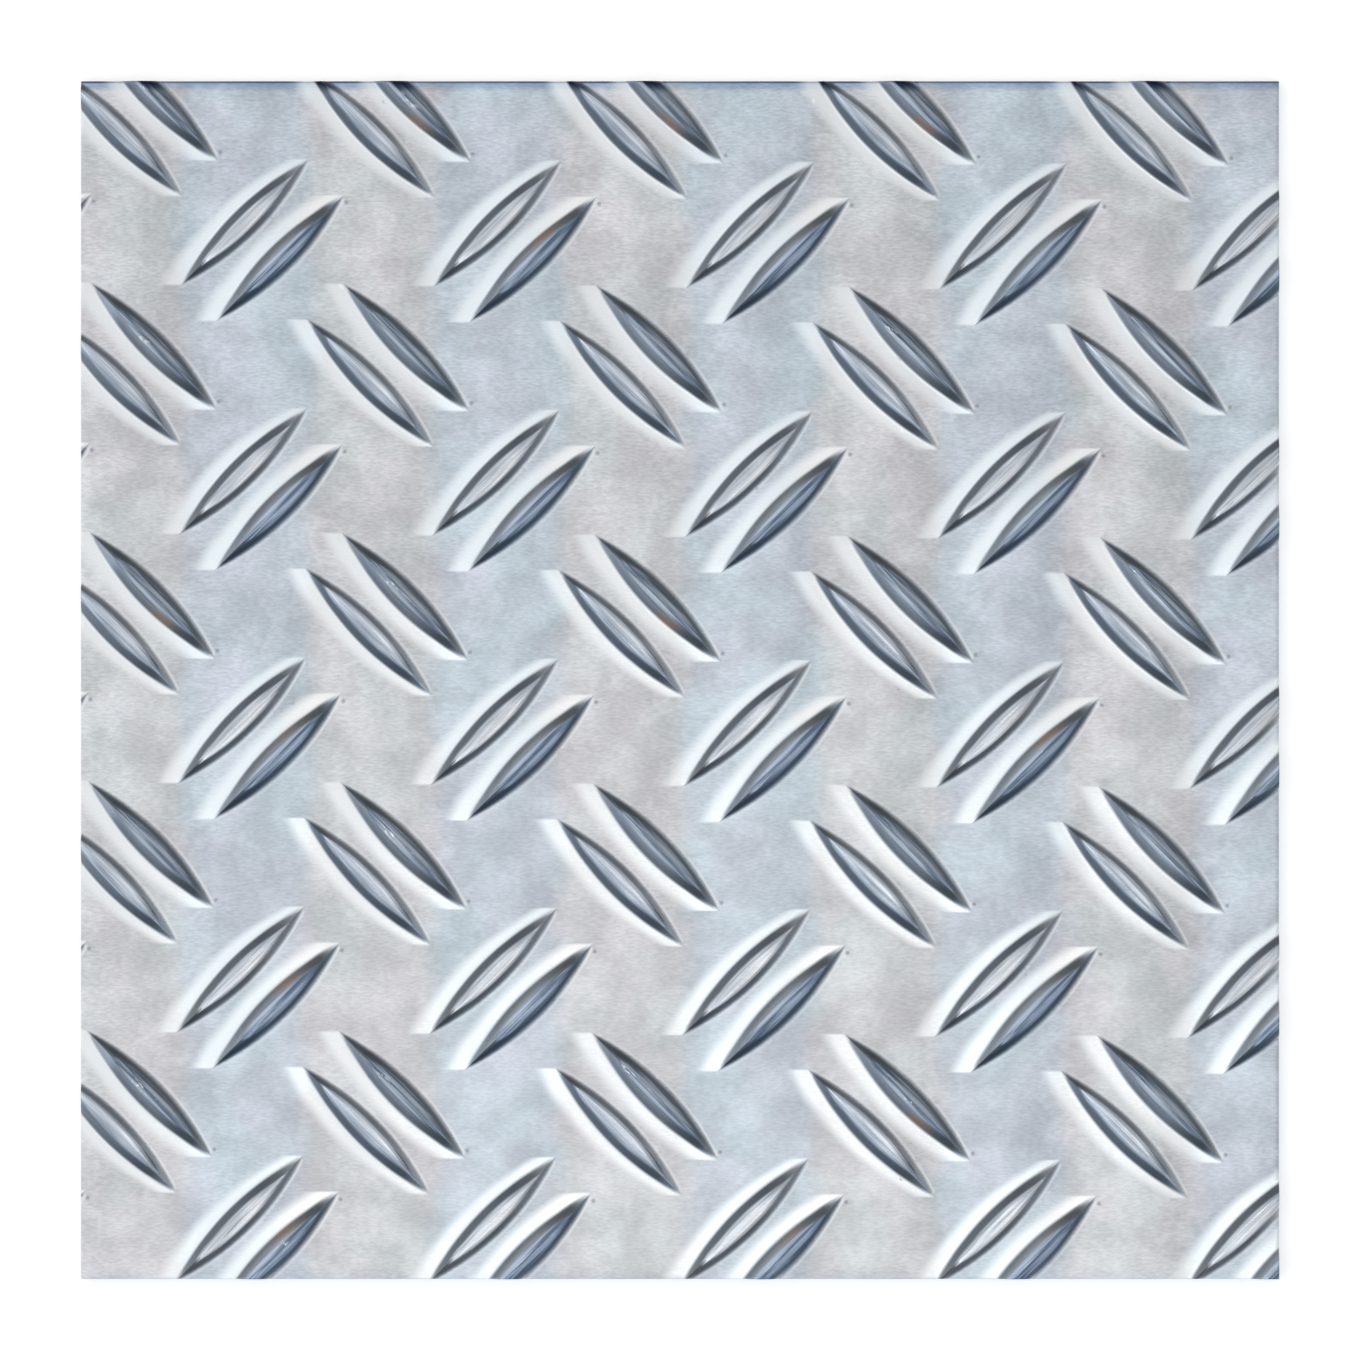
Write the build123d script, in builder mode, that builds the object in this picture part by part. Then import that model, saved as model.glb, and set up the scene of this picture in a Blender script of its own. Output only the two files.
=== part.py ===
"""Embossed aluminium tread sheet with the two-bar pattern, rolled as one piece.

The sheet lies flat with its plain back on Z = 0 and its raised bars upwards.
The origin is the middle of the back, and X runs along the rolling direction.
All sizes are in millimetres and degrees.
"""

import math
import os

from build123d import *

# Sheet, sheared from a wide rolled coil
sheet_width = 200.0  # along X
sheet_length = 200.0  # along Y
sheet_gauge = 2.5  # thickness between the bars
shear_roll = 0.5  # radius that the blade leaves on the top of the far edge
edge_break = 0.2  # chamfer filed on the bottom edges

# Raised bar, measured where its walls meet the sheet
bar_length = 28.7  # from point to point
bar_width = 4.75  # across the middle
bar_height = 1.5  # above the sheet
bar_wall_run = 1.2  # width of the sloping wall, seen from above
bar_crest_break = 0.25  # width of the bevel that rolling leaves along the edge of the flat crest

# Pattern of the bars, which lie in pairs that lean to the right and to the left in turn
pair_spacing = 8.45  # between the centre lines of the two bars of a pair
column_pitch = 42.2  # between like pairs along X
row_pitch = 41.6  # between like pairs along Y
bar_lean = 45.0  # angle of the bars to the rolling direction, either way
pattern_turn = -0.32  # turn of the pattern against the sheared edges
pattern_x = 14.1  # middle of the right-leaning pair nearest to the sheet's middle
pattern_y = -10.2

# Seen from above, a bar is the overlap of two discs, so the bar itself is the overlap of two cones.
# The cones go on below the surface, deeper than the rolled edge, so that no gap opens under a bar there.
disc_radius = ((bar_length / 2) ** 2 + (bar_width / 2) ** 2) / bar_width
disc_offset = disc_radius - bar_width / 2
bar_root = 2 * shear_roll
root_radius = disc_radius + bar_root * bar_wall_run / bar_height
crest_radius = disc_radius - bar_wall_run

with BuildPart() as tread_bar:
    for side, mode in ((1, Mode.ADD), (-1, Mode.INTERSECT)):
        with Locations((0, side * disc_offset, -bar_root)):
            Cone(
                bottom_radius=root_radius,
                top_radius=crest_radius,
                height=bar_root + bar_height,
                align=(Align.CENTER, Align.CENTER, Align.MIN),
                mode=mode,
            )
    chamfer(tread_bar.edges().group_by(Axis.Z)[-1], length=bar_crest_break)


def reaches_sheet(place):
    """True where a bar at this place can cover some of the sheet."""
    reach = bar_length / 2
    near_x = abs(place.position.X) < sheet_width / 2 + reach
    near_y = abs(place.position.Y) < sheet_length / 2 + reach
    return near_x and near_y


# The left-leaning pairs lie half a pitch on from the others, in both directions.
# The grid is wide enough to cover the sheet from wherever the pattern starts.
columns = 2 * math.ceil(sheet_width / 2 / column_pitch) + 3
rows = 2 * math.ceil(sheet_length / 2 / row_pitch) + 3
pattern_frame = Location((pattern_x, pattern_y, sheet_gauge), (0, 0, pattern_turn))
bar_places = []
for lean, shift in ((bar_lean, 0), (-bar_lean, 0.5)):
    pair_frame = Location((shift * column_pitch, shift * row_pitch, 0))
    bar_frame = Location((0, 0, 0), (0, 0, lean))
    with Locations(pattern_frame), Locations(pair_frame):
        with GridLocations(column_pitch, row_pitch, columns, rows), Locations(bar_frame):
            with GridLocations(0, pair_spacing, 1, 2) as bars:
                bar_places.extend(filter(reaches_sheet, bars.locations))

with BuildPart() as embossed_sheet:
    with BuildSketch() as blank:
        Rectangle(sheet_width, sheet_length)
    extrude(amount=sheet_gauge)
    far_edge = embossed_sheet.edges().filter_by(Axis.X).group_by(Axis.Z)[-1].sort_by(Axis.Y)[-1]
    fillet(far_edge, radius=shear_roll)
    with Locations(*bar_places):
        add(tread_bar.part)
    # The shear cuts through the bars that lie across the edges.
    extrude(blank.sketch, amount=sheet_gauge + bar_height, mode=Mode.INTERSECT)
    back_edges = embossed_sheet.faces().sort_by(Axis.Z)[0].edges()
    chamfer(back_edges, length=edge_break)

embossed_sheet.part.label = "embossed_sheet"
os.makedirs("parts", exist_ok=True)
export_step(embossed_sheet.part, "parts/embossed_sheet.step")
print("bars:", len(bar_places))
print("volume:", round(embossed_sheet.part.volume, 1))
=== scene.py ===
"""Look of the embossed aluminium tread sheet, in metres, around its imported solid."""

import math

import bmesh
import bpy
import numpy as np
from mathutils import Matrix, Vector
from mathutils.geometry import delaunay_2d_cdt


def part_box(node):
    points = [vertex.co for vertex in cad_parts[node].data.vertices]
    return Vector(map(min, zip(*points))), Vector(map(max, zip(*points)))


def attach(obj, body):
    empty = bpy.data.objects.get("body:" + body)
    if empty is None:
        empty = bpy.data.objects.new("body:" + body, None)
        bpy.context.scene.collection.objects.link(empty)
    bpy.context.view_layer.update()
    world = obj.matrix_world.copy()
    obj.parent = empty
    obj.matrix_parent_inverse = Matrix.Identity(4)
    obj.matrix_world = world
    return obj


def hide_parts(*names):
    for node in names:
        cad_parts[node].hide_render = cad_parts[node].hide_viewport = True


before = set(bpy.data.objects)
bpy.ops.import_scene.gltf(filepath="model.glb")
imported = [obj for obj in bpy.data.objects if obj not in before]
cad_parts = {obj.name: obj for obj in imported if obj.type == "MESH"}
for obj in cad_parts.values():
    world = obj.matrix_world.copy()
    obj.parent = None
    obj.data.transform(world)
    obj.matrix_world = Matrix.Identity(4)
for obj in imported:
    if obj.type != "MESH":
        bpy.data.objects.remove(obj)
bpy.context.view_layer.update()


# The sheet is one piece of aluminium, rolled between a plain roll and one with engraved grooves.
# The grooves leave the raised bars. The metal beside a bar is burnished where it slid out of one,
# and its highlight there is painted into its colour.
# It is then sheared to a square, straight through the bars that lie across the cut.
MM = 0.001
_, sheet_high = (np.array(corner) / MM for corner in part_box("embossed_sheet"))
half_width = sheet_high[0]
half_length = sheet_high[1]
bar_height = 1.5
sheet_gauge = sheet_high[2] - bar_height

bar_length = 28.7
bar_width = 4.75
left_wall_run = 1.4
right_wall_run = 1.0
pair_spacing = 8.45
column_pitch = 42.2
row_pitch = 41.6
bar_lean = math.radians(45)
pattern_turn = math.radians(-0.32)
pattern_middle = np.array((14.25, -10.2))

# Seen from above, a bar is the overlap of two discs.
disc_radius = ((bar_length / 2) ** 2 + (bar_width / 2) ** 2) / bar_width
disc_offset = disc_radius - bar_width / 2
crest_half = (bar_width - left_wall_run - right_wall_run) / 2
crest_shift = (right_wall_run - left_wall_run) / 2


def turned(points, angle):
    """Points turned about the origin."""
    turn = np.array(((math.cos(angle), math.sin(angle)), (-math.sin(angle), math.cos(angle))))
    return points @ turn


# Each bar has its middle, its angle, its lean, 1 to the right or -1 to the left,
# and its place in the pair, 1 for the left bar and 0 for the right one.
bar_rows = []
pattern_reach = 4
for lean, shift in ((1, 0), (-1, 0.5)):
    for column in range(-pattern_reach, pattern_reach):
        for row in range(-pattern_reach, pattern_reach):
            for side in (1, -1):
                middle = turned(np.array((0, side * pair_spacing / 2)), lean * bar_lean)
                middle = middle + ((column + shift) * column_pitch, (row + shift) * row_pitch)
                middle = turned(middle, pattern_turn) + pattern_middle
                near = abs(middle) < (half_width + bar_length / 2, half_length + bar_length / 2)
                if near.all():
                    bar_rows.append((*middle, lean * bar_lean + pattern_turn, lean, side == lean))
bar_x, bar_y, bar_angle, bar_side, bar_left = np.array(bar_rows, dtype=float).T
random = np.random.default_rng(7)
bar_seed = random.random(len(bar_rows))

# Distance along the rolling direction counts as at most this many times the straight distance.
left_drift_limit = 1.85
right_drift_limit = 1.3
drift_limit = np.where(bar_left == 1, left_drift_limit, right_drift_limit)


def seen_from(bar, x, y):
    """Where points lie seen from a bar, given by its number: along it, across it towards its left
    side, in from its outline, up its wall as a share, left of it along the rolling direction and
    in from its ends."""
    right, up = x - bar_x[bar], y - bar_y[bar]
    cosine, sine = np.cos(bar_angle[bar]), np.sin(bar_angle[bar])
    along = right * cosine + up * sine
    across = (up * cosine - right * sine) * bar_side[bar]
    left_depth = disc_radius - np.hypot(along, across + disc_offset)
    right_depth = disc_radius - np.hypot(along, across - disc_offset)
    inside = np.minimum(left_depth, right_depth)
    climb = np.minimum(left_depth / left_wall_run, right_depth / right_wall_run)
    rise = up + cosine * bar_side[bar] * disc_offset
    chord = np.sqrt(np.maximum(disc_radius ** 2 - rise ** 2, 0))
    drift = sine * bar_side[bar] * disc_offset - chord - right
    drift = np.minimum(drift, -drift_limit[bar] * left_depth)
    end = abs(sine) * bar_length / 2 - abs(up)
    return {"along": along, "across": across, "inside": inside,
            "climb": climb, "drift": drift, "end": end}


# The plan is a set of lines, seen from above, that the mesh follows.
plan_points = []
plan_edges = []
plan_margin = 3.0


def add_line(points, closed=False):
    """Adds a line of points to the plan, without the stretches that lie well off the sheet."""
    keep = (abs(points) < (half_width + plan_margin, half_length + plan_margin)).all(axis=1)
    first = len(plan_points)
    number = first + np.cumsum(keep) - 1
    plan_points.extend(points[keep])
    for i in range(0 if closed else 1, len(points)):
        if keep[i - 1] and keep[i]:
            plan_edges.append((int(number[i - 1]), int(number[i])))


def bar_arcs(climb, steps=27):
    """Left and right outlines of a bar at a share of its wall's climb, each from end to end."""
    left_radius = disc_radius - climb * left_wall_run
    right_radius = disc_radius - climb * right_wall_run
    meet = (left_radius ** 2 - right_radius ** 2) / (4 * disc_offset)
    arcs = []
    for radius, side in ((left_radius, 1), (right_radius, -1)):
        angles = np.linspace(-1, 1, steps) * math.acos((side * meet + disc_offset) / radius)
        across = side * (radius * np.cos(angles) - disc_offset)
        arcs.append(np.column_stack((radius * np.sin(angles), across)))
    return arcs


# Rings climb each bar, a ridge runs between its ends, and rows of points carry the burnished rise
# on its left. A right bar also has rings for the burr beside its right tip.
ring_climbs = (-0.25, 0.0, 0.17, 0.4, 0.66, 0.84, 1.0, 1.17, 1.4, 1.7)
flare_rows = (0.7, 1.5, 2.3, 3.0, 3.8)
burr_along = bar_length / 2 - 0.1
burr_across = -1.15
burr_radius = 0.5
burr_height = 0.07
burr_turns = np.linspace(0, 2 * math.pi, 9)[:-1]
burr_ring = np.column_stack((np.cos(burr_turns), np.sin(burr_turns)))
burr_points = np.concatenate((0 * burr_ring[:1], burr_ring / 2, burr_ring)) * burr_radius
burr_points = burr_points + (burr_along, burr_across)
for x, y, angle, lean, left in bar_rows:
    middle = np.array((x, y))
    for climb in ring_climbs:
        left_arc, right_arc = bar_arcs(climb)
        ring = np.concatenate((left_arc, right_arc[-2:0:-1])) * (1, lean)
        add_line(turned(ring, angle) + middle, closed=True)
    ends = np.array([bar_arcs(climb)[0][-1] for climb in ring_climbs[1:]])
    ridge = np.concatenate((ends * (-1, 1), ends[::-1])) * (1, lean)
    add_line(turned(ridge, angle) + middle)
    for row in flare_rows:
        add_line(turned(bar_arcs(ring_climbs[0])[0] * (1, lean), angle) + middle - (row, 0))
    if not left:
        add_line(turned(burr_points * (1, lean), angle) + middle)

# Lines along the edges carry the rounding that the shear leaves, which is widest on the far edge.
far_roll = 0.5
plain_roll = 0.12
side_insets = (0, 0.02, 0.06, plain_roll)
near_insets = [plain_roll * share for share in (0, 0.17, 0.5, 1)]
far_insets = [far_roll * share for share in (1, 0.7, 0.45, 0.2, 0.06, 0)]
edge_points = 101
for inset in side_insets:
    for side in (-1, 1):
        run = np.linspace(-half_length, half_length, edge_points)
        add_line(np.column_stack((0 * run + side * (half_width - inset), run)))
edge_rows = [inset - half_length for inset in near_insets]
edge_rows += [half_length - inset for inset in far_insets]
for y in edge_rows:
    run = np.linspace(-half_width, half_width, edge_points)
    add_line(np.column_stack((run, 0 * run + y)))

# Points between the bars, on a plain grid
grid_step = 2.4
for x in np.arange(-half_width + grid_step, half_width, grid_step):
    for y in np.arange(-half_length + grid_step, half_length, grid_step):
        plan_points.append(np.array((x, y)))

merge_distance = 1e-5
plan_vectors = [Vector(point) for point in plan_points]
plan, _, triangles, *_ = delaunay_2d_cdt(plan_vectors, plan_edges, [], 0, merge_distance, False)
plan = np.array([tuple(point) for point in plan])
triangles = np.array(triangles)
middles = abs(plan[triangles].mean(axis=1))
triangles = triangles[(middles < (half_width, half_length)).all(axis=1)]
used, triangles = np.unique(triangles, return_inverse=True)
plan_x, plan_y = plan[used].T
triangles = triangles.reshape(-1, 3)


def smooth_step(low, high, value):
    """0 below low, 1 above high and a soft ramp between."""
    share = np.clip((value - low) / (high - low), 0, 1)
    return share * share * (3 - 2 * share)


def soft_max(a, b, width):
    """The larger of two heights, with a fillet where they cross."""
    return np.maximum(a, b) + np.maximum(width - abs(a - b), 0) ** 2 / (4 * width)


# Height of the rolled face. The left bar of a pair has an almost flat crest, and the right one
# a rounded crest. The metal rises gently towards each bar from the left, where it flowed along
# the roll.
crest_rise = 0.03
crest_dome = 0.22
shoulder = 0.4
left_foot = 0.16
right_foot = 0.12
flare_reach = 3.6
flare_height = 0.05
flare_power = 1.3
relief = np.zeros(len(plan_x))
for bar in range(len(bar_rows)):
    place = seen_from(bar, plan_x, plan_y)
    share = np.clip((place["across"] - crest_shift) / crest_half, -1.5, 1.5) ** 2
    crest = bar_height - (crest_rise if bar_left[bar] else crest_dome) * share
    body = -soft_max(-bar_height * place["climb"], -crest, shoulder)
    flare = np.clip(1 - place["drift"] / flare_reach, 0, 1) * (place["across"] > 0)
    flare *= smooth_step(-0.6, 0.3, place["end"])
    foot = right_foot + (left_foot - right_foot) * smooth_step(-0.4, 0.4, place["across"])
    relief = np.maximum(relief, soft_max(body, flare_height * flare ** flare_power, foot))
    if not bar_left[bar]:
        away = np.hypot(place["along"] - burr_along, place["across"] - burr_across)
        relief += burr_height * smooth_step(burr_radius, 0, away)

# The sheet itself is a little higher under each column of bars, and never quite flat.
pillow_depth = 0.09
wave_count = 14
wave_lengths = (9, 40)
wave_steepness = 0.00032
pattern_run, _ = turned(np.column_stack((plan_x, plan_y)) - pattern_middle, -pattern_turn).T
pillow = pillow_depth * (np.cos(4 * math.pi * pattern_run / column_pitch) - 1)
ripple = np.zeros(len(plan_x))
for _ in range(wave_count):
    length = random.uniform(*wave_lengths)
    heading = random.uniform(0, math.pi)
    phase = random.uniform(0, 2 * math.pi)
    travel = plan_x * math.cos(heading) + plan_y * math.sin(heading)
    ripple += wave_steepness * length * np.sin(2 * math.pi * travel / length + phase)
ripple -= ripple.max()


def edge_drop(inset, roll):
    """Depth of a rounded edge at a distance in from the cut."""
    return roll - np.sqrt(np.maximum(roll ** 2 - np.clip(roll - inset, 0, roll) ** 2, 0))


drop = edge_drop(half_length - plan_y, far_roll)
for inset in (half_length + plan_y, half_width - abs(plan_x)):
    drop = np.maximum(drop, edge_drop(inset, plain_roll))
height = sheet_gauge + relief + pillow + ripple - drop

# Every triangle belongs to the bar that it lies on or beside, and its corners store where they lie
# seen from that bar. A bar's own ground reaches further on its burnished side.
burnished_reach = 2.2
corner_x, corner_y = plan_x[triangles], plan_y[triangles]
owner = np.zeros(len(triangles), dtype=int)
nearest = np.full(len(triangles), -np.inf)
for bar in range(len(bar_rows)):
    place = seen_from(bar, corner_x.mean(axis=1), corner_y.mean(axis=1))
    own = place["inside"] + burnished_reach * (place["across"] > 0)
    owner[own > nearest] = bar
    nearest = np.maximum(nearest, own)
owner = np.repeat(owner[:, None], 3, axis=1)
place = seen_from(owner, corner_x, corner_y)
along, across, inside = place["along"], place["across"], place["inside"]
left = bar_left[owner]
right = 1 - left
lean_right = (bar_side[owner] + 1) / 2
lean_left = 1 - lean_right
seed = bar_seed[owner]
burnished_side = smooth_step(-0.05, 0.15, across)
plain_side = 1 - burnished_side

# The dull skin of a bar, with the painted shade of its walls, reaches a little past its foot at the
# two ends, most on a right bar. On the left wall of a left bar it stops short of the foot in the
# middle.
skin_and_shade = inside + 0.12 * smooth_step(9.5, 13, abs(along))
skin_and_shade += 0.12 * right * smooth_step(8, 11, along)
skin_and_shade += 0.14 * right * plain_side * smooth_step(-4, -10, along)
skin_and_shade -= 0.08 * left * burnished_side * smooth_step(9, 5, abs(along))
skin_and_shade_start = -0.32 * burnished_side + plain_side * np.where(left == 1, -0.35, -0.10)
skin_and_shade_end = 0.26 * burnished_side + plain_side * np.where(left == 1, 0.50, 0.60)
cover = (skin_and_shade - skin_and_shade_start) / (skin_and_shade_end - skin_and_shade_start)

# The crest colour of a left bar, a painted highlight, is fuller at both ends, and the painted shade
# of the right wall of a right bar is wider at its left end.
crest = place["climb"] + 0.17 * left * plain_side * smooth_step(1, 6, along)
crest += 0.17 * left * burnished_side * smooth_step(-5, -8, along)
crest -= 0.4 * right * smooth_step(-4.5, -9.5, along) * smooth_step(0.25, -0.15, across)
# How far the painted crest highlight reaches also changes with the bar's lean.
crest += left * lean_left * plain_side * (0.08 + 0.12 * smooth_step(3, 7, along))
crest -= 0.12 * left * lean_right * plain_side * smooth_step(-5, -9, along)
crest -= 0.12 * right * lean_right * plain_side * smooth_step(5, -3, along)

# The burnish begins sharp at the bar's foot and fades about 4 mm away from it, along the rolling
# direction. Its light colour is a painted highlight, whitest at the right end of the right bars
# that lean to the right.
drift = place["drift"] - 0.5 * smooth_step(-8, -13, along) - 0.8
whiter_highlight = right * lean_right * smooth_step(2, 9, along)

# The plate has bands of blue and warm grey, and of light and shade, along the columns of pairs.
# The painted dark of the far edge grows from left to right on each stretch between two bars.
band_middle = pattern_middle[0] - 2.5
stretch_start = -2.4
turns = 2 * math.pi * (corner_x - band_middle) / column_pitch
blue_band = np.cos(turns) - 0.6
light_band = 1 + 0.03 * np.cos(2 * turns + 0.9)
stretch = 0.75 + 0.5 * ((corner_x - stretch_start) / column_pitch % 1)

# Burrs lie beside the right tips of the right bars, and some of these bars have painted white
# glints on the crest. The two never meet, so one number stands for both.
stain_seed = seed * 17 % 1
burr_away = np.hypot(along - burr_along, across - burr_across)
burr = 0.7 * right * smooth_step(burr_radius, 0.1, burr_away)
painted_glints = smooth_step(0.60, 0.70, seed) * smooth_step(0.8, 0, abs(across - 0.2))
painted_glints *= smooth_step(2.4, 0, abs(along - 9 * stain_seed + 6.5))
spots = burr + painted_glints

# The crests of the right bars have a painted pale band, a painted light ridge and a painted dark
# line, each strongest at one place along the bar.
painted_pale_band = smooth_step(8, 0, abs(along - 2.5))
painted_light_ridge = smooth_step(11, 0, abs(along + 1.5))
painted_dark_line = smooth_step(7, 0, abs(along - 5))


def tones(*stops):
    """A colour that changes from stop to stop along a bar, each at its place in millimetres."""
    places, colours = zip(*stops)
    return np.stack([np.interp(along, places, channel) for channel in zip(*colours)], axis=-1)


def shaded(colour, share, shade):
    """A colour, multiplied by a shade, grey or coloured, where the share is 1."""
    return colour * (1 + share[..., None] * (np.array(shade) - 1))


# The walls keep the dull skin of the groove, with painted shade and reflections in its colour. The
# paint is lighter towards the right end of the bar, and lighter on the two walls that face each
# other in a pair than on the outer two. Its shade and hue differ a little between the pairs that
# lean to the right and those that lean to the left.
left_bar_left_wall = tones(
    (-13, (0.285, 0.325, 0.38)), (-8, (0.197, 0.228, 0.27)), (1, (0.184, 0.214, 0.255)),
    (6.5, (0.142, 0.164, 0.197)), (10, (0.195, 0.226, 0.26)), (13.5, (0.54, 0.59, 0.66)))
left_bar_left_wall = shaded(left_bar_left_wall, lean_right, (1.06, 1.0, 0.95))
left_bar_left_wall = shaded(left_bar_left_wall, lean_left * smooth_step(5.5, 9, along), 0.68)
left_bar_right_wall = tones(
    (-11.5, (0.155, 0.176, 0.202)), (-8, (0.275, 0.297, 0.322)), (0, (0.325, 0.35, 0.372)),
    (3, (0.41, 0.44, 0.468)), (6, (0.60, 0.64, 0.685)), (12.5, (0.56, 0.605, 0.655)))
left_bar_right_wall = shaded(left_bar_right_wall, lean_right, (0.67, 0.64, 0.62))
right_bar_left_wall = tones(
    (-12, (0.37, 0.42, 0.47)), (-8.5, (0.44, 0.49, 0.545)), (-6, (0.378, 0.418, 0.468)),
    (-3, (0.348, 0.378, 0.412)), (3, (0.354, 0.386, 0.414)), (9, (0.179, 0.196, 0.21)),
    (11.2, (0.17, 0.188, 0.203)), (14, (0.69, 0.74, 0.80)))
right_bar_left_wall = shaded(right_bar_left_wall, lean_left, (0.95, 0.98, 1.03))
left_end = lean_left * smooth_step(-8.5, -11.5, along)
right_bar_left_wall = shaded(right_bar_left_wall, left_end, (1.22, 1.1, 1.04))
right_bar_left_wall = shaded(right_bar_left_wall, lean_left * smooth_step(-4, 8, along), 0.74)
right_bar_right_wall = tones(
    (-12, (0.064, 0.084, 0.112)), (-6, (0.092, 0.12, 0.155)), (-3, (0.112, 0.145, 0.187)),
    (10, (0.128, 0.163, 0.207)), (13, (0.265, 0.31, 0.355)))
right_bar_right_wall = shaded(right_bar_right_wall, lean_left, (1.52, 1.37, 1.20))
right_bar_right_wall = shaded(right_bar_right_wall, lean_left * smooth_step(-9, -11.5, along), 1.5)

# On some right bars the left wall has a brown stain from the hot roll.
stained = 0.6 * smooth_step(0.68, 0.78, stain_seed) * smooth_step(4, 0, abs(along - 4))
brown = np.array((0.48, 0.30, 0.21))
right_bar_left_wall += stained[..., None] * (brown - right_bar_left_wall)
is_left = left[..., None] == 1
left_wall = np.where(is_left, left_bar_left_wall, right_bar_left_wall)
right_wall = np.where(is_left, left_bar_right_wall, right_bar_right_wall)

# The crests of the left bars carry painted highlights, most along their right side and at their
# left end, with painted shade on the bars that lean to the left.
crest_left_half = tones(
    (-9.5, (0.70, 0.75, 0.82)), (-6.5, (0.47, 0.515, 0.58)), (0, (0.445, 0.49, 0.55)),
    (3, (0.54, 0.585, 0.64)), (6.5, (0.34, 0.385, 0.45)), (9, (0.37, 0.41, 0.47)),
    (12, (0.70, 0.76, 0.83)))
crest_right_half = tones(
    (-9.5, (0.86, 0.89, 0.93)), (-6.5, (0.66, 0.70, 0.76)), (0, (0.67, 0.69, 0.725)),
    (3, (0.70, 0.715, 0.74)), (6.5, (0.59, 0.62, 0.665)), (9, (0.54, 0.575, 0.62)),
    (12, (0.80, 0.85, 0.91)))
dimmed = lean_left * smooth_step(-6, -2, along)
crest_left_half = shaded(crest_left_half, dimmed, (0.78, 0.79, 0.80))
crest_right_half = shaded(crest_right_half, lean_left * smooth_step(4.5, 0, abs(along - 4)), 1.2)
dimmed = lean_left * smooth_step(2, 0, abs(along - 9))
crest_right_half = shaded(crest_right_half, dimmed, (0.78, 0.79, 0.80))
to_right_half = smooth_step(0.8, -1.2, across)[..., None]
bright_crest = crest_left_half + to_right_half * (crest_right_half - crest_left_half)
bright_crest = shaded(bright_crest, lean_left, (0.84, 0.885, 0.94))

# What the mesh stores for its material: a number, three numbers or a colour for each corner
marks = {
    "place": np.stack((along, across, inside), axis=-1),
    "reach": np.stack((cover, crest, drift), axis=-1),
    "kind": np.stack((left, lean_right, seed), axis=-1),
    "bands": np.stack((blue_band, light_band, stretch), axis=-1),
    "edges": np.stack((place["end"], half_length - corner_y, whiter_highlight), axis=-1),
    "crest_light": np.stack((painted_pale_band, painted_light_ridge, painted_dark_line), axis=-1),
    "spots": spots,
    "left_wall": left_wall,
    "right_wall": right_wall,
    "bright_crest": bright_crest,
}

# The rolled face becomes a closed sheet, with a plain back and sheared sides. Their torn part lies
# a little deeper than the burnished band above it, and their lower edge is broken.
edge_break = 0.2
corner_angle = math.radians(70)
fracture_inset = 0.04
fracture_height = 1.3
fracture_step = 0.1
side_rings = ((fracture_height, 0), (fracture_height - fracture_step, fracture_inset),
              (edge_break, fracture_inset), (0, edge_break))
cut_slot = 1
back_slot = 2
top = np.column_stack((plan_x, plan_y, height)) * MM
mesh = bpy.data.meshes.new("tread_sheet")
mesh.from_pydata(top.tolist(), [], triangles.tolist())
for name, value in marks.items():
    one_number = value.ndim == owner.ndim
    stored = mesh.attributes.new(name, "FLOAT" if one_number else "FLOAT_VECTOR", "CORNER")
    field = "value" if one_number else "vector"
    stored.data.foreach_set(field, value.astype(np.float32).ravel())
work = bmesh.new()
work.from_mesh(mesh)
for face in work.faces:
    face.smooth = True
border = [edge for edge in work.edges if edge.is_boundary]
side_points = []
for level, inset in side_rings:
    made = bmesh.ops.extrude_edge_only(work, edges=border)["geom"]
    border = [item for item in made if isinstance(item, bmesh.types.BMEdge) and item.is_boundary]
    for edge in border:
        edge.smooth = False
    for item in made:
        if isinstance(item, bmesh.types.BMVert):
            item.co.x = math.copysign(min(abs(item.co.x), (half_width - inset) * MM), item.co.x)
            item.co.y = math.copysign(min(abs(item.co.y), (half_length - inset) * MM), item.co.y)
            item.co.z = level * MM
            side_points.append(item)
        elif isinstance(item, bmesh.types.BMFace):
            item.material_index = cut_slot
            item.smooth = True

# Points of a ring that fall together in a corner become one. The back is a fan about its middle.
bmesh.ops.remove_doubles(work, verts=side_points, dist=1e-4 * MM)
back_middle = work.verts.new((0, 0, 0))
for edge in [edge for edge in work.edges if edge.is_boundary]:
    face = work.faces.new((*edge.verts, back_middle))
    face.material_index = back_slot
bmesh.ops.recalc_face_normals(work, faces=work.faces)
for edge in work.edges:
    if edge.calc_face_angle(0) > corner_angle:
        edge.smooth = False
work.to_mesh(mesh)
work.free()
sheet = bpy.data.objects.new("tread_sheet", mesh)
bpy.context.scene.collection.objects.link(sheet)
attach(sheet, "root")
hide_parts("embossed_sheet")


def feed(tree, socket, value):
    """Links a socket to a socket, or sets its value."""
    if isinstance(value, bpy.types.NodeSocket):
        tree.links.new(value, socket)
    else:
        socket.default_value = value


def attribute(tree, name, output="Color"):
    """What is stored on the mesh under a name, as a colour, as a vector or as one number."""
    node = tree.nodes.new("ShaderNodeAttribute")
    node.attribute_name = name
    return node.outputs[output]


def numbers(tree, name):
    """Three numbers stored on the mesh together."""
    apart = tree.nodes.new("ShaderNodeSeparateXYZ")
    tree.links.new(attribute(tree, name, "Vector"), apart.inputs[0])
    return apart.outputs


def calculate(tree, operation, *values):
    """A sum on numbers."""
    node = tree.nodes.new("ShaderNodeMath")
    node.operation = operation
    for socket, value in zip(node.inputs, values):
        feed(tree, socket, value)
    return node.outputs[0]


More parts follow.
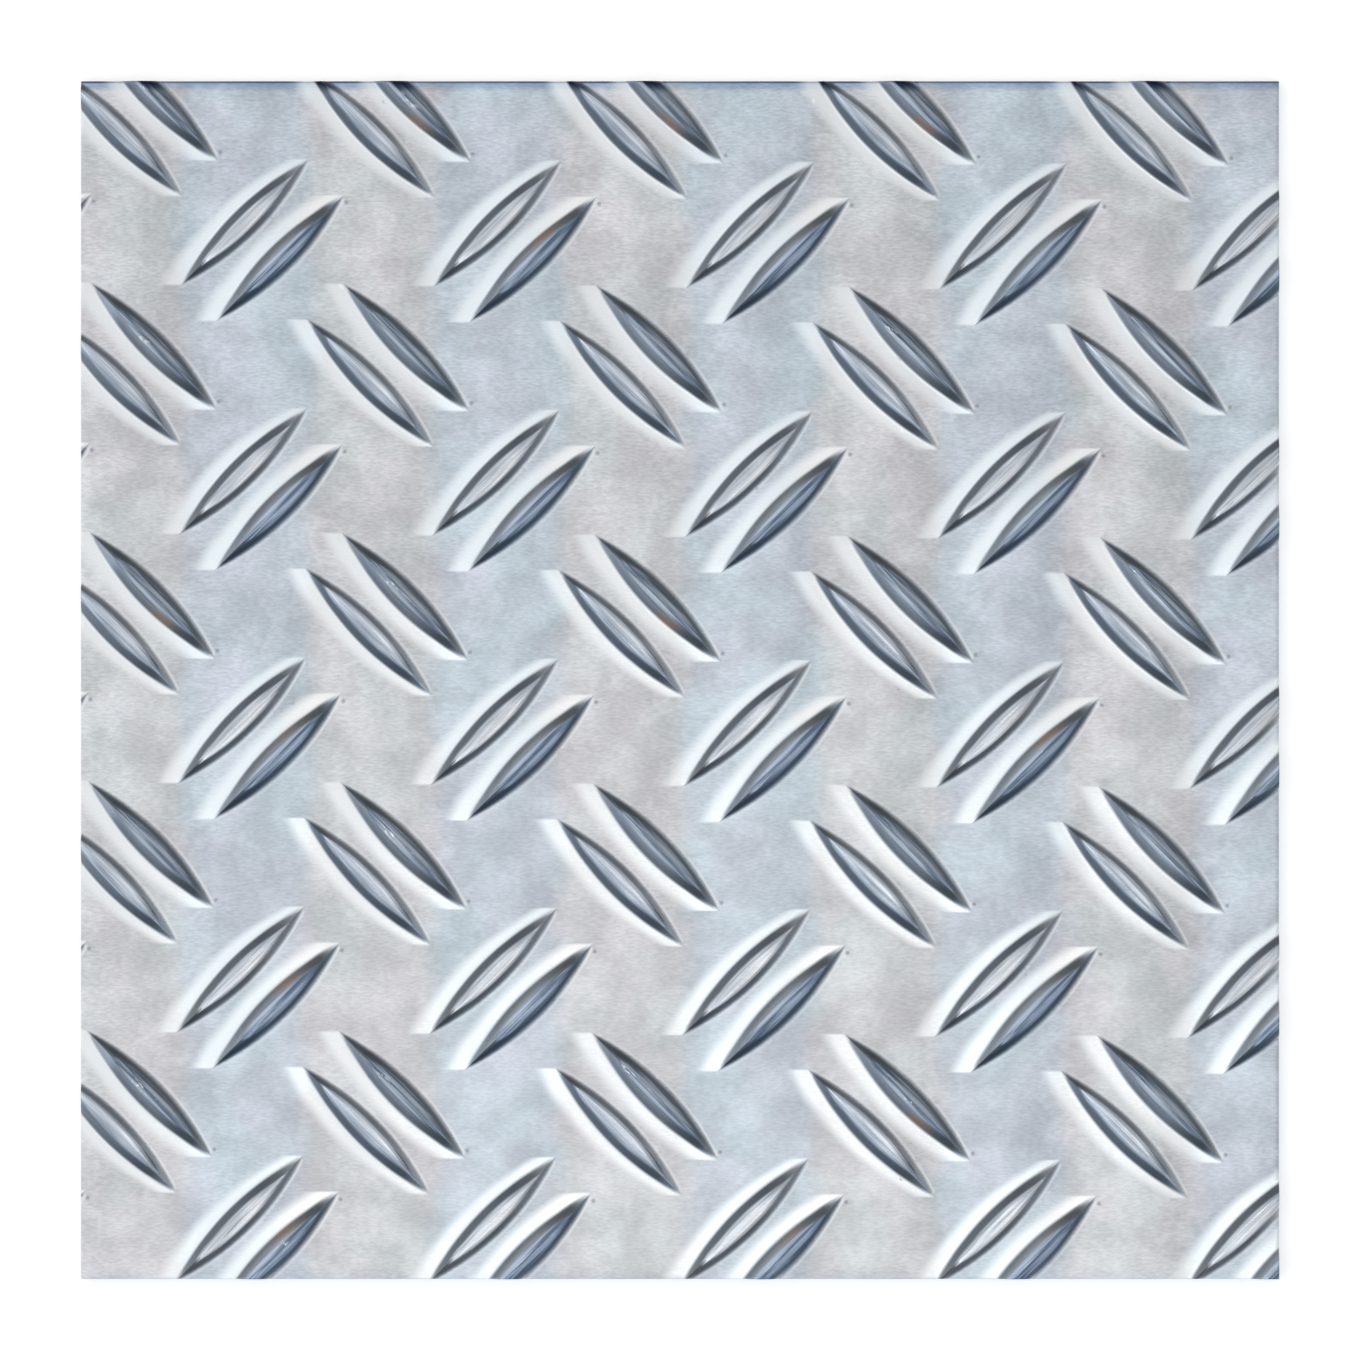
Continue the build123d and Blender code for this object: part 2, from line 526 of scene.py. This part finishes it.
def ramp(tree, value, low, high, start=0.0, end=1.0):
    """A soft step from start to end as the value goes from low to high."""
    node = tree.nodes.new("ShaderNodeMapRange")
    node.interpolation_type = "SMOOTHSTEP"
    for socket, number in zip(node.inputs, (value, low, high, start, end)):
        feed(tree, socket, number)
    return node.outputs[0]


def ridge_mask(tree, value, middle, reach):
    """1 where the value is at the middle, and 0 further from it than the reach."""
    away = calculate(tree, "ABSOLUTE", calculate(tree, "SUBTRACT", value, middle))
    return ramp(tree, away, 0.0, reach, 1.0, 0.0)


def blend(tree, share, first, second, mode="MIX"):
    """Two colours blended by a share."""
    node = tree.nodes.new("ShaderNodeMix")
    node.data_type = "RGBA"
    node.blend_type = mode
    share_place, first_place, second_place, result_place = 0, 6, 7, 2
    feed(tree, node.inputs[share_place], share)
    feed(tree, node.inputs[first_place], first)
    feed(tree, node.inputs[second_place], second)
    return node.outputs[result_place]


def grain(tree, place, stretch, detail=2.0, roughness=0.55):
    """Noise over a place in millimetres, stretched to the lengths given."""
    scale = tree.nodes.new("ShaderNodeVectorMath")
    scale.operation = "DIVIDE"
    feed(tree, scale.inputs[0], place)
    feed(tree, scale.inputs[1], stretch)
    node = tree.nodes.new("ShaderNodeTexNoise")
    tree.links.new(scale.outputs[0], node.inputs["Vector"])
    node.inputs["Scale"].default_value = 1.0
    node.inputs["Detail"].default_value = detail
    node.inputs["Roughness"].default_value = roughness
    return node.outputs["Fac"]


# Mill finish that the face, the cut sides and the back share: soft clouds, light and tinted, and
# fine lines.
mill_finish = bpy.data.node_groups.new("mill_finish", "ShaderNodeTree")
mill_finish.interface.new_socket("Cloud Size", in_out="INPUT", socket_type="NodeSocketFloat")
mill_finish.interface.new_socket("Line Stretch", in_out="INPUT", socket_type="NodeSocketVector")
for name in ("Clouds", "Tint", "Lines"):
    mill_finish.interface.new_socket(name, in_out="OUTPUT", socket_type="NodeSocketFloat")
tree = mill_finish
group_in = tree.nodes.new("NodeGroupInput")
group_out = tree.nodes.new("NodeGroupOutput")
coordinates = tree.nodes.new("ShaderNodeTexCoord")
millimetres = tree.nodes.new("ShaderNodeVectorMath")
millimetres.operation = "SCALE"
tree.links.new(coordinates.outputs["Object"], millimetres.inputs[0])
millimetres.inputs["Scale"].default_value = 1 / MM
sized = grain(tree, millimetres.outputs[0], group_in.outputs["Cloud Size"], detail=4, roughness=0.6)
tree.links.new(sized, group_out.inputs["Clouds"])
tinted = grain(tree, millimetres.outputs[0], (14.0, 17.0, 14.0), detail=2)
tree.links.new(tinted, group_out.inputs["Tint"])
lined = grain(tree, millimetres.outputs[0], group_in.outputs["Line Stretch"], detail=2)
tree.links.new(lined, group_out.inputs["Lines"])


def new_material(name, cloud_size, line_stretch):
    """A material with its own tree, shader and the shared mill finish."""
    material = bpy.data.materials.new(name)
    material.use_nodes = True
    tree = material.node_tree
    finish = tree.nodes.new("ShaderNodeGroup")
    finish.node_tree = mill_finish
    finish.inputs["Cloud Size"].default_value = cloud_size
    finish.inputs["Line Stretch"].default_value = line_stretch
    shader = tree.nodes["Principled BSDF"]
    shader.inputs["Metallic"].default_value = 1.0
    clouds, tint, lines = finish.outputs
    return material, tree, shader, clouds, tint, lines


def between(tree, share, first, second):
    """A number between two others, by a share."""
    node = tree.nodes.new("ShaderNodeMix")
    feed(tree, node.inputs[0], share)
    feed(tree, node.inputs[2], first)
    feed(tree, node.inputs[3], second)
    return node.outputs[0]


def both(tree, *masks):
    """Where all the masks hold."""
    held = masks[0]
    for mask in masks[1:]:
        held = calculate(tree, "MULTIPLY", held, mask)
    return held


# The rolled face. The mesh tells where each point lies seen from its bar.
material, tree, shader, clouds, tint, lines = new_material("rolled_face", 8.0, (1.15, 0.35, 0.4))
along, across, inside = numbers(tree, "place")
cover, crest, drift = numbers(tree, "reach")
left, lean_right, seed = numbers(tree, "kind")
blue_band, light_band, stretch = numbers(tree, "bands")
end, edge_inset, whiter_highlight = numbers(tree, "edges")
burnished_side = ramp(tree, across, -0.05, 0.15)
plain_side = calculate(tree, "SUBTRACT", 1.0, burnished_side)
on_bar = ramp(tree, cover, 0.0, 1.0)
on_crest = ramp(tree, crest, 0.76, 1.08)
drift = calculate(tree, "MULTIPLY_ADD", clouds, 1.6, drift)
beside_bar = ramp(tree, drift, 1.3, 4.2, 1.0, 0.0)
burnish_and_highlight = both(tree, beside_bar, ramp(tree, end, -0.65, -0.15), burnished_side)

# Plate between the bars, with a painted highlight rim along the plain side of each bar
blue_band = ramp(tree, calculate(tree, "MULTIPLY_ADD", tint, 1.2, blue_band), -0.3, 0.3)
plate = blend(tree, blue_band, (0.630, 0.646, 0.672, 1), (0.570, 0.630, 0.697, 1))
plate = blend(tree, 1.0, plate, light_band, "MULTIPLY")
plate = blend(tree, 1.0, plate, ramp(tree, clouds, 0.28, 0.72, 0.86, 1.14), "MULTIPLY")
plate = blend(tree, 1.0, plate, ramp(tree, lines, 0.25, 0.75, 0.88, 1.12), "MULTIPLY")
hue = blend(tree, ramp(tree, tint, 0.35, 0.65), (1.02, 0.99, 1.0, 1), (0.98, 1.01, 1.0, 1))
plate = blend(tree, 1.0, plate, hue, "MULTIPLY")
# The rim is a painted highlight.
painted_rim = both(tree, ridge_mask(tree, inside, -0.45, 0.4), plain_side)
painted_rim = both(tree, painted_rim, ramp(tree, along, -6.0, 12.0, 0.25, 0.7), ramp(tree, along, 14.7, 14.1))
plate = blend(tree, painted_rim, plate, (0.80, 0.83, 0.87, 1))
spots = attribute(tree, "spots", "Fac")
plate = blend(tree, spots, plate, (0.23, 0.25, 0.28, 1))
# The burnished band is smoother, and its light colour is a painted highlight.
burnished_highlight = blend(tree, blue_band, (0.790, 0.815, 0.835, 1), (0.85, 0.925, 0.975, 1))
burnished_highlight = blend(tree, whiter_highlight, burnished_highlight, (0.92, 0.935, 0.95, 1))
colour = blend(tree, burnish_and_highlight, plate, burnished_highlight)

# Walls of the bars, with painted shade and reflections
wall = blend(tree, burnished_side, attribute(tree, "right_wall"), attribute(tree, "left_wall"))
colour = blend(tree, on_bar, colour, wall)

# The crests are streaked along the bar.
streak_place = tree.nodes.new("ShaderNodeCombineXYZ")
tree.links.new(along, streak_place.inputs[0])
tree.links.new(across, streak_place.inputs[1])
tree.links.new(calculate(tree, "MULTIPLY", seed, 50.0), streak_place.inputs[2])
streaks = grain(tree, streak_place.outputs[0], (8.0, 0.32, 1.0), detail=2)
streak_light = ramp(tree, streaks, 0.3, 0.7, 0.80, 1.20)
bright_crest = blend(tree, 1.0, attribute(tree, "bright_crest"), streak_light, "MULTIPLY")

# The crests of the right bars are dark and streaked, with a painted pale band, a painted light
# ridge, a painted dark line and a painted hue that differs with the lean.
painted_pale_band, painted_light_ridge, painted_dark_line = numbers(tree, "crest_light")
wavy_across = calculate(tree, "ADD", across, calculate(tree, "MULTIPLY_ADD", streaks, 0.5, -0.25))
streaked = ramp(tree, streaks, 0.35, 0.69)
right_crest = blend(tree, streaked, (0.095, 0.132, 0.18, 1), (0.39, 0.44, 0.52, 1))
painted_pale_band = both(tree, ridge_mask(tree, wavy_across, -0.75, 0.6), painted_pale_band)
pale_band_colour = blend(tree, lean_right, (0.48, 0.52, 0.575, 1), (0.395, 0.45, 0.535, 1))
right_crest = blend(tree, painted_pale_band, right_crest, pale_band_colour)
painted_light_ridge = both(tree, ridge_mask(tree, wavy_across, 0.52, 0.6), painted_light_ridge)
light_ridge_colour = blend(tree, lean_right, (0.44, 0.475, 0.52, 1), (0.53, 0.57, 0.625, 1))
right_crest = blend(tree, painted_light_ridge, right_crest, light_ridge_colour)
painted_dark_line = both(tree, ridge_mask(tree, wavy_across, 0.05, 0.4), painted_dark_line)
right_crest = blend(tree, painted_dark_line, right_crest, (0.12, 0.15, 0.20, 1))
lean_hue = blend(tree, lean_right, (0.88, 0.91, 0.95, 1), (0.89, 0.96, 1.06, 1))
right_crest = blend(tree, 1.0, right_crest, lean_hue, "MULTIPLY")
# Painted white glints on the crests of some right bars
flecks = grain(tree, streak_place.outputs[0], (1.1, 0.35, 1.0), detail=1)
painted_glints = both(tree, ramp(tree, flecks, 0.54, 0.64), spots)
right_crest = blend(tree, painted_glints, right_crest, (0.90, 0.92, 0.95, 1))
colour = blend(tree, on_crest, colour, blend(tree, left, right_crest, bright_crest))

# The far edge is rolled over by the shear. Its dark reflection is painted: a painted blue haze
# beside the cut, a painted dark line at the cut itself, and painted near-black shade where the cut
# crosses a bar.
off_burnish_and_highlight = calculate(tree, "MULTIPLY_ADD", burnish_and_highlight, -0.7, 1.0)
stretch = both(tree, stretch, off_burnish_and_highlight)
painted_edge_haze = both(tree, ramp(tree, edge_inset, 2.0, 0.7), stretch)
colour = blend(tree, painted_edge_haze, colour, (0.58, 0.69, 0.85, 1), "MULTIPLY")
painted_edge_line = both(tree, ramp(tree, edge_inset, 0.5, 0.15), stretch)
colour = blend(tree, painted_edge_line, colour, (0.10, 0.11, 0.16, 1))
painted_cut_shade = both(tree, ramp(tree, edge_inset, 2.4, 0.2), on_bar, between(tree, left, plain_side, 1.0))
colour = blend(tree, painted_cut_shade, colour, (0.012, 0.02, 0.04, 1))
feed(tree, shader.inputs["Base Color"], colour)

roughness = ramp(tree, lines, 0.2, 0.8, 0.34, 0.42)
roughness = calculate(tree, "SUBTRACT", roughness, calculate(tree, "MULTIPLY", burnish_and_highlight, 0.1))
roughness = calculate(tree, "MULTIPLY_ADD", on_bar, 0.1, roughness)
roughness = calculate(tree, "MULTIPLY_ADD", on_crest, -0.2, roughness)
feed(tree, shader.inputs["Roughness"], roughness)
bump = tree.nodes.new("ShaderNodeBump")
bump.inputs["Strength"].default_value = 0.12
bump.inputs["Distance"].default_value = 0.05 * MM
tree.links.new(lines, bump.inputs["Height"])
tree.links.new(bump.outputs["Normal"], shader.inputs["Normal"])
sheet.data.materials.append(material)

# The cut sides are bright where the blade slid, with fine upright scores, and grainy below, where
# the metal tore.
material, tree, shader, clouds, _, lines = new_material("sheared_edge", 3.0, (0.25, 0.25, 5.0))
coordinates = tree.nodes.new("ShaderNodeTexCoord")
split = tree.nodes.new("ShaderNodeSeparateXYZ")
tree.links.new(coordinates.outputs["Object"], split.inputs[0])
torn_grain = grain(tree, coordinates.outputs["Object"], (0.18 * MM, 0.18 * MM, 0.18 * MM), detail=3)
uneven = calculate(tree, "MULTIPLY_ADD", clouds, 0.7 * MM, split.outputs["Z"])
slid = ramp(tree, uneven, (fracture_height + 0.2) * MM, (fracture_height + 0.5) * MM)
scores = ramp(tree, lines, 0.25, 0.75)
slid_colour = blend(tree, scores, (0.43, 0.45, 0.48, 1), (0.60, 0.62, 0.65, 1))
pits = ramp(tree, torn_grain, 0.3, 0.7)
torn_colour = blend(tree, pits, (0.32, 0.34, 0.37, 1), (0.54, 0.56, 0.59, 1))
feed(tree, shader.inputs["Base Color"], blend(tree, slid, torn_colour, slid_colour))
slid_roughness = ramp(tree, lines, 0.2, 0.8, 0.24, 0.38)
torn_roughness = ramp(tree, torn_grain, 0.2, 0.8, 0.48, 0.62)
feed(tree, shader.inputs["Roughness"], between(tree, slid, torn_roughness, slid_roughness))
bump = tree.nodes.new("ShaderNodeBump")
bump.inputs["Strength"].default_value = 0.5
bump.inputs["Distance"].default_value = 0.05 * MM
scored = calculate(tree, "MULTIPLY", lines, 0.5)
torn_height = both(tree, torn_grain, calculate(tree, "SUBTRACT", 1.0, slid))
tree.links.new(calculate(tree, "ADD", scored, torn_height), bump.inputs["Height"])
tree.links.new(bump.outputs["Normal"], shader.inputs["Normal"])
sheet.data.materials.append(material)

# The plain back keeps the fine lines of the smooth roll, with a few longer scuffs.
material, tree, shader, clouds, _, lines = new_material("plain_back", 14.0, (6.0, 0.25, 0.4))
coordinates = tree.nodes.new("ShaderNodeTexCoord")
scuffs = grain(tree, coordinates.outputs["Object"], (60 * MM, 0.35 * MM, MM), detail=2)
clouded = ramp(tree, clouds, 0.3, 0.7)
back_colour = blend(tree, clouded, (0.585, 0.61, 0.645, 1), (0.69, 0.705, 0.725, 1))
back_colour = blend(tree, 1.0, back_colour, ramp(tree, lines, 0.25, 0.75, 0.90, 1.10), "MULTIPLY")
back_colour = blend(tree, ramp(tree, scuffs, 0.64, 0.74), back_colour, (0.80, 0.81, 0.82, 1))
feed(tree, shader.inputs["Base Color"], back_colour)
feed(tree, shader.inputs["Roughness"], ramp(tree, lines, 0.2, 0.8, 0.30, 0.44))
bump = tree.nodes.new("ShaderNodeBump")
bump.inputs["Strength"].default_value = 0.15
bump.inputs["Distance"].default_value = 0.05 * MM
tree.links.new(lines, bump.inputs["Height"])
tree.links.new(bump.outputs["Normal"], shader.inputs["Normal"])
sheet.data.materials.append(material)


# The floor is a plain white table that the sheet lies on. It is not part of the object.
# A little light of its own, seen by the camera and in reflections, lifts it to white and leaves
# the sheet's shadow on it.
floor_half = 3.0
floor_gap = 0.3 * MM
floor_glow = 0.4
floor_corners = ((-1, -1), (1, -1), (1, 1), (-1, 1))
floor_points = [(x * floor_half, y * floor_half, -floor_gap) for x, y in floor_corners]
floor_mesh = bpy.data.meshes.new("floor")
floor_mesh.from_pydata(floor_points, [], [(0, 1, 2, 3)])
floor = bpy.data.objects.new("floor", floor_mesh)
bpy.context.scene.collection.objects.link(floor)
material = bpy.data.materials.new("white_floor")
material.use_nodes = True
tree = material.node_tree
shader = tree.nodes["Principled BSDF"]
shader.inputs["Base Color"].default_value = (0.9, 0.9, 0.9, 1)
shader.inputs["Roughness"].default_value = 0.9
shader.inputs["Specular IOR Level"].default_value = 0.0
shader.inputs["Emission Color"].default_value = (1, 1, 1, 1)
rays = tree.nodes.new("ShaderNodeLightPath").outputs
seen = calculate(tree, "MAXIMUM", rays["Is Camera Ray"], rays["Is Glossy Ray"])
seen = calculate(tree, "MAXIMUM", seen, rays["Is Transmission Ray"])
feed(tree, shader.inputs["Emission Strength"], calculate(tree, "MULTIPLY", seen, floor_glow))
floor.data.materials.append(material)


# Plain soft studio light: a pale ceiling that is a little brighter on the left and near sides, over
# grey walls. The walls darken towards the floor, bluish on the near side, and least on the left.
world = bpy.data.worlds.new("studio")
bpy.context.scene.world = world
world.use_nodes = True
tree = world.node_tree
background = tree.nodes["Background"]
coordinates = tree.nodes.new("ShaderNodeTexCoord")
split = tree.nodes.new("ShaderNodeSeparateXYZ")
tree.links.new(coordinates.outputs["Generated"], split.inputs[0])
to_right, to_far, up = split.outputs
ceiling = calculate(tree, "MULTIPLY_ADD", to_right, -0.6, 0.86)
ceiling = calculate(tree, "MULTIPLY_ADD", to_far, -0.2, ceiling)
ceiling = calculate(tree, "MINIMUM", calculate(tree, "MAXIMUM", ceiling, 0.45), 1.2)
walls = blend(tree, ramp(tree, to_far, 0.4, -0.4), (0.16, 0.165, 0.17, 1), (0.02, 0.062, 0.14, 1))
walls = blend(tree, ramp(tree, to_right, -0.35, -1.0), walls, (1.0, 1.05, 1.1, 1))
walls = blend(tree, ramp(tree, to_right, 0.35, 1.0), walls, (0.55, 0.58, 0.62, 1))
walls = blend(tree, ramp(tree, up, 0.0, 0.30), walls, (0.70, 0.69, 0.685, 1))
rise = calculate(tree, "MULTIPLY_ADD", to_far, 0.15, up)
sky = blend(tree, ramp(tree, rise, 0.3, 0.9), walls, ceiling)
near_tint = blend(tree, ramp(tree, to_far, -0.1, -0.7), (1, 1, 1, 1), (0.89, 0.96, 1.04, 1))
sky = blend(tree, 1.0, sky, near_tint, "MULTIPLY")
tree.links.new(sky, background.inputs["Color"])
background.inputs["Strength"].default_value = 1.0
# The studio is smooth all over, so its light is found by reflection alone, with less grain.
world.cycles.sampling_method = "NONE"

# A soft lamp hangs over the near half of the sheet, so that half is a little lighter and warmer.
lamp_data = bpy.data.lights.new("soft_lamp", "AREA")
lamp_data.shape = "SQUARE"
lamp_data.size = 0.25
lamp_data.energy = 0.12
lamp_data.color = (1.0, 0.96, 0.9)
lamp = bpy.data.objects.new("soft_lamp", lamp_data)
lamp.location = (0, -0.14, 0.75)
bpy.context.scene.collection.objects.link(lamp)


# The camera looks straight down, and the sheet fills 1198 of the picture's 1360 pixels.
sheet_pixels = 1198
picture_pixels = 1360
camera_data = bpy.data.cameras.new("camera")
camera_data.lens = 300
camera_data.sensor_width = 36
view_width = 2 * half_width * MM * picture_pixels / sheet_pixels
camera = bpy.data.objects.new("camera", camera_data)
camera_distance = view_width * camera_data.lens / camera_data.sensor_width
camera.location = (0, 0, sheet_gauge * MM + camera_distance)
bpy.context.scene.collection.objects.link(camera)
bpy.context.scene.camera = camera
bpy.context.scene.view_settings.view_transform = "Standard"
